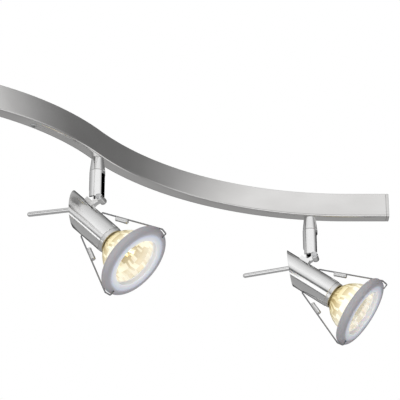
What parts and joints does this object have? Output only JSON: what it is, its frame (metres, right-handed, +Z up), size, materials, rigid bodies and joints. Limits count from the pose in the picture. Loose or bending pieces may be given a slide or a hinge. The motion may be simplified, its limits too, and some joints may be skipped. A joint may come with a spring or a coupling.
{
  "type": "track lighting fixture",
  "caption": "Wave-shaped ceiling rail light with swivelling and tilting spot heads, sprung clips and frosted glass rings.",
  "frame": {"origin": "middle of the mounting plate's top face, on the ceiling", "axes": "+Z up into the ceiling, +X along the rail from its left end to its right end, -Y towards the room side that the rail's middle bends to"},
  "size_m": [0.998, 0.3648, 0.1623],
  "materials": {
    "satin_nickel": "satin nickel plate, finely brushed along the rail",
    "polished_nickel": "bright nickel plate with a faint grain",
    "zinc_steel": "bright zinc plate",
    "aluminium": "turned",
    "black_zinc": "black zinc plate, turned",
    "white_plastic": "moulded",
    "cable_sheath": "matt sheath",
    "ceramic": "unglazed",
    "lamp_glass": "faceted coated reflector with a clear front glass",
    "frosted_glass": "frosted",
    "spring_wire": "drawn spring steel wire with turned grips"
  },
  "bodies": {
    "ceiling_bar": {"left_rail": "satin_nickel", "right_rail": "satin_nickel", "end_caps": "satin_nickel", "mounting_plate": "zinc_steel", "canopy": "satin_nickel", "cap_nuts": "satin_nickel", "screws": "zinc_steel", "transformer": "white_plastic", "feed_cables": "cable_sheath", "ferrules": "polished_nickel", "nipples": "black_zinc", "nipple_nuts": "black_zinc"},
    "swivel_1": {"head_1_stem": "polished_nickel", "head_1_pivot_screw": "zinc_steel"},
    "spot_1": {"head_1_knuckle": "polished_nickel", "head_1_tube": "polished_nickel", "head_1_rear_cap": "polished_nickel", "head_1_aiming_rod": "polished_nickel", "head_1_lampholder": "ceramic", "head_1_collar": "aluminium", "head_1_lamp": "lamp_glass", "head_1_glass_ring": "frosted_glass"},
    "upper_clip_1": {"head_1_upper_clip": "spring_wire"},
    "lower_clip_1": {"head_1_lower_clip": "spring_wire"},
    "swivel_2": {"head_2_stem": "polished_nickel", "head_2_pivot_screw": "zinc_steel"},
    "spot_2": {"head_2_knuckle": "polished_nickel", "head_2_tube": "polished_nickel", "head_2_rear_cap": "polished_nickel", "head_2_aiming_rod": "polished_nickel", "head_2_lampholder": "ceramic", "head_2_collar": "aluminium", "head_2_lamp": "lamp_glass", "head_2_glass_ring": "frosted_glass"},
    "upper_clip_2": {"head_2_upper_clip": "spring_wire"},
    "lower_clip_2": {"head_2_lower_clip": "spring_wire"},
    "swivel_3": {"head_3_stem": "polished_nickel", "head_3_pivot_screw": "zinc_steel"},
    "spot_3": {"head_3_knuckle": "polished_nickel", "head_3_tube": "polished_nickel", "head_3_rear_cap": "polished_nickel", "head_3_aiming_rod": "polished_nickel", "head_3_lampholder": "ceramic", "head_3_collar": "aluminium", "head_3_lamp": "lamp_glass", "head_3_glass_ring": "frosted_glass"},
    "upper_clip_3": {"head_3_upper_clip": "spring_wire"},
    "lower_clip_3": {"head_3_lower_clip": "spring_wire"},
    "swivel_4": {"head_4_stem": "polished_nickel", "head_4_pivot_screw": "zinc_steel"},
    "spot_4": {"head_4_knuckle": "polished_nickel", "head_4_tube": "polished_nickel", "head_4_rear_cap": "polished_nickel", "head_4_aiming_rod": "polished_nickel", "head_4_lampholder": "ceramic", "head_4_collar": "aluminium", "head_4_lamp": "lamp_glass", "head_4_glass_ring": "frosted_glass"},
    "upper_clip_4": {"head_4_upper_clip": "spring_wire"},
    "lower_clip_4": {"head_4_lower_clip": "spring_wire"}
  },
  "joints": [
    {"name": "swivel_1", "type": "hinge", "parent": "ceiling_bar", "child": "swivel_1", "pos_m": [-0.42111, 0.26243, -0.0389], "axis": [0, 0, 1], "range_deg": [-175, 175]},
    {"name": "tilt_1", "type": "hinge", "parent": "swivel_1", "child": "spot_1", "pos_m": [-0.42534, 0.26164, -0.0664], "axis": [0.1822, -0.9833, 0], "range_deg": [-37, 33]},
    {"name": "upper_clip_1", "type": "hinge", "parent": "spot_1", "child": "upper_clip_1", "pos_m": [-0.42676, 0.26138, -0.08276], "axis": [-0.1822, 0.9833, 0], "range_deg": [0, 12], "stiffness_Nm_per_rad": 0.15},
    {"name": "lower_clip_1", "type": "hinge", "parent": "spot_1", "child": "lower_clip_1", "pos_m": [-0.41409, 0.26373, -0.09985], "axis": [0.1822, -0.9833, 0], "range_deg": [0, 12], "stiffness_Nm_per_rad": 0.15},
    {"name": "swivel_2", "type": "hinge", "parent": "ceiling_bar", "child": "swivel_2", "pos_m": [-0.21967, 0.13035, -0.0389], "axis": [0, 0, 1], "range_deg": [-175, 175]},
    {"name": "tilt_2", "type": "hinge", "parent": "swivel_2", "child": "spot_2", "pos_m": [-0.22374, 0.12895, -0.0664], "axis": [0.3256, -0.9455, 0], "range_deg": [-45, 25]},
    {"name": "upper_clip_2", "type": "hinge", "parent": "spot_2", "child": "upper_clip_2", "pos_m": [-0.22294, 0.12922, -0.0828], "axis": [-0.3256, 0.9455, 0], "range_deg": [0, 12], "stiffness_Nm_per_rad": 0.15},
    {"name": "lower_clip_2", "type": "hinge", "parent": "spot_2", "child": "lower_clip_2", "pos_m": [-0.20863, 0.13415, -0.09794], "axis": [0.3256, -0.9455, 0], "range_deg": [0, 12], "stiffness_Nm_per_rad": 0.15},
    {"name": "swivel_3", "type": "hinge", "parent": "ceiling_bar", "child": "swivel_3", "pos_m": [0.21967, 0.13035, -0.0389], "axis": [0, 0, 1], "range_deg": [-175, 175]},
    {"name": "tilt_3", "type": "hinge", "parent": "swivel_3", "child": "spot_3", "pos_m": [0.22374, 0.12895, -0.0664], "axis": [0.3256, 0.9455, 0], "range_deg": [-45, 25]},
    {"name": "upper_clip_3", "type": "hinge", "parent": "spot_3", "child": "upper_clip_3", "pos_m": [0.22294, 0.12922, -0.0828], "axis": [-0.3256, -0.9455, 0], "range_deg": [0, 12], "stiffness_Nm_per_rad": 0.15},
    {"name": "lower_clip_3", "type": "hinge", "parent": "spot_3", "child": "lower_clip_3", "pos_m": [0.20863, 0.13415, -0.09794], "axis": [0.3256, 0.9455, 0], "range_deg": [0, 12], "stiffness_Nm_per_rad": 0.15},
    {"name": "swivel_4", "type": "hinge", "parent": "ceiling_bar", "child": "swivel_4", "pos_m": [0.42111, 0.26243, -0.0389], "axis": [0, 0, 1], "range_deg": [-175, 175]},
    {"name": "tilt_4", "type": "hinge", "parent": "swivel_4", "child": "spot_4", "pos_m": [0.42534, 0.26164, -0.0664], "axis": [0.1822, 0.9833, 0], "range_deg": [-37, 33]},
    {"name": "upper_clip_4", "type": "hinge", "parent": "spot_4", "child": "upper_clip_4", "pos_m": [0.42676, 0.26138, -0.08276], "axis": [-0.1822, -0.9833, 0], "range_deg": [0, 12], "stiffness_Nm_per_rad": 0.15},
    {"name": "lower_clip_4", "type": "hinge", "parent": "spot_4", "child": "lower_clip_4", "pos_m": [0.41409, 0.26373, -0.09985], "axis": [0.1822, 0.9833, 0], "range_deg": [0, 12], "stiffness_Nm_per_rad": 0.15}
  ]
}
